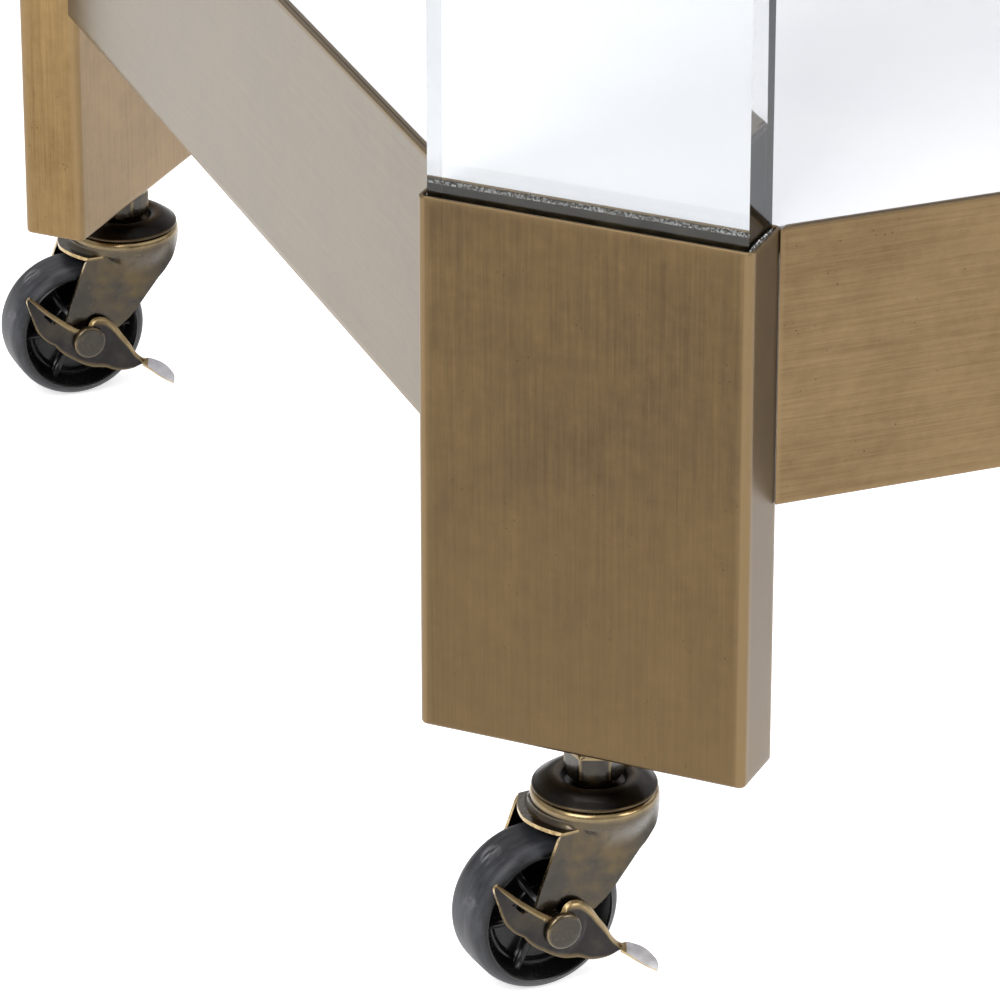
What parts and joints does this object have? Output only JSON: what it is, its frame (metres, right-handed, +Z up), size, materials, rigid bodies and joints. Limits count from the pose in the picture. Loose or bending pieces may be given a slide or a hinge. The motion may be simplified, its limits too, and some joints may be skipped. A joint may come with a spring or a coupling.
{
  "type": "bar cart",
  "caption": "Two-tier bar cart with acrylic slab legs in brass corner sleeves, brass side rails, white shelves and braked swivel casters.",
  "frame": {"origin": "on the floor, under the middle of the cart", "axes": "+X along the long front side, to the right seen from the front; +Y to the back; +Z up"},
  "size_m": [0.9133, 0.556, 0.85],
  "materials": {
    "antique_brass": "brushed and darkened antique brass, satin lacquer",
    "clear_acrylic": "polished clear acrylic slab",
    "white_glass": "glossy white back-painted glass",
    "dark_bronze": "pressed steel plated dark antique bronze, rubbed bright on edges",
    "plain_steel": "plain plated steel",
    "black_plastic": "moulded black plastic with a dusty satin tread"
  },
  "bodies": {
    "cart_frame": {"lower_sleeve_front_left": "antique_brass", "upper_sleeve_front_left": "antique_brass", "acrylic_leg_front_left": "clear_acrylic", "end_plate_front_left": "plain_steel", "stem_front_left": "dark_bronze", "bearing_cover_front_left": "dark_bronze", "lower_sleeve_front_right": "antique_brass", "upper_sleeve_front_right": "antique_brass", "acrylic_leg_front_right": "clear_acrylic", "end_plate_front_right": "plain_steel", "stem_front_right": "dark_bronze", "bearing_cover_front_right": "dark_bronze", "lower_sleeve_back_left": "antique_brass", "upper_sleeve_back_left": "antique_brass", "acrylic_leg_back_left": "clear_acrylic", "end_plate_back_left": "plain_steel", "stem_back_left": "dark_bronze", "bearing_cover_back_left": "dark_bronze", "lower_sleeve_back_right": "antique_brass", "upper_sleeve_back_right": "antique_brass", "acrylic_leg_back_right": "clear_acrylic", "end_plate_back_right": "plain_steel", "stem_back_right": "dark_bronze", "bearing_cover_back_right": "dark_bronze", "lower_rail_front": "antique_brass", "lower_rail_back": "antique_brass", "lower_rail_left": "antique_brass", "lower_rail_right": "antique_brass", "lower_shelf": "white_glass", "lower_ledge_front": "plain_steel", "lower_ledge_back": "plain_steel", "upper_rail_front": "antique_brass", "upper_rail_back": "antique_brass", "upper_rail_left": "antique_brass", "upper_rail_right": "antique_brass", "upper_shelf": "white_glass", "upper_ledge_front": "plain_steel", "upper_ledge_back": "plain_steel"},
    "caster_front_left": {"fork_front_left": "dark_bronze", "axle_front_left": "dark_bronze", "ball_ring_front_left": "dark_bronze"},
    "wheel_front_left": {"wheel_front_left": "black_plastic"},
    "brake_front_left": {"brake_lever_front_left": "dark_bronze"},
    "caster_front_right": {"fork_front_right": "dark_bronze", "axle_front_right": "dark_bronze", "ball_ring_front_right": "dark_bronze"},
    "wheel_front_right": {"wheel_front_right": "black_plastic"},
    "brake_front_right": {"brake_lever_front_right": "dark_bronze"},
    "caster_back_left": {"fork_back_left": "dark_bronze", "axle_back_left": "dark_bronze", "ball_ring_back_left": "dark_bronze"},
    "wheel_back_left": {"wheel_back_left": "black_plastic"},
    "brake_back_left": {"brake_lever_back_left": "dark_bronze"},
    "caster_back_right": {"fork_back_right": "dark_bronze", "axle_back_right": "dark_bronze", "ball_ring_back_right": "dark_bronze"},
    "wheel_back_right": {"wheel_back_right": "black_plastic"},
    "brake_back_right": {"brake_lever_back_right": "dark_bronze"}
  },
  "joints": [
    {"name": "swivel_front_left", "type": "hinge", "parent": "cart_frame", "child": "caster_front_left", "pos_m": [-0.41083, -0.23283, 0.06], "axis": [0, 0, 1], "continuous": true},
    {"name": "wheel_spin_front_left", "type": "hinge", "parent": "caster_front_left", "child": "wheel_front_left", "pos_m": [-0.43139, -0.23517, 0.0254], "axis": [0.1132, -0.9936, 0], "continuous": true},
    {"name": "brake_front_left", "type": "hinge", "parent": "caster_front_left", "child": "brake_front_left", "pos_m": [-0.43139, -0.23517, 0.0254], "axis": [0.1132, -0.9936, 0], "range_deg": [0, 28]},
    {"name": "swivel_front_right", "type": "hinge", "parent": "cart_frame", "child": "caster_front_right", "pos_m": [0.41083, -0.23283, 0.06], "axis": [0, 0, 1], "continuous": true},
    {"name": "wheel_spin_front_right", "type": "hinge", "parent": "caster_front_right", "child": "wheel_front_right", "pos_m": [0.39016, -0.23409, 0.0254], "axis": [0.061, -0.9981, 0], "continuous": true},
    {"name": "brake_front_right", "type": "hinge", "parent": "caster_front_right", "child": "brake_front_right", "pos_m": [0.39016, -0.23409, 0.0254], "axis": [0.061, -0.9981, 0], "range_deg": [0, 28]},
    {"name": "swivel_back_left", "type": "hinge", "parent": "cart_frame", "child": "caster_back_left", "pos_m": [-0.41083, 0.23283, 0.06], "axis": [0, 0, 1], "continuous": true},
    {"name": "wheel_spin_back_left", "type": "hinge", "parent": "caster_back_left", "child": "wheel_back_left", "pos_m": [-0.43152, 0.23221, 0.0254], "axis": [0.0297, -0.9996, 0], "continuous": true},
    {"name": "brake_back_left", "type": "hinge", "parent": "caster_back_left", "child": "brake_back_left", "pos_m": [-0.43152, 0.23221, 0.0254], "axis": [0.0297, -0.9996, 0], "range_deg": [0, 28]},
    {"name": "swivel_back_right", "type": "hinge", "parent": "cart_frame", "child": "caster_back_right", "pos_m": [0.41083, 0.23283, 0.06], "axis": [0, 0, 1], "continuous": true},
    {"name": "wheel_spin_back_right", "type": "hinge", "parent": "caster_back_right", "child": "wheel_back_right", "pos_m": [0.39013, 0.23337, 0.0254], "axis": [-0.0262, -0.9997, 0], "continuous": true},
    {"name": "brake_back_right", "type": "hinge", "parent": "caster_back_right", "child": "brake_back_right", "pos_m": [0.39013, 0.23337, 0.0254], "axis": [-0.0262, -0.9997, 0], "range_deg": [0, 28]}
  ]
}
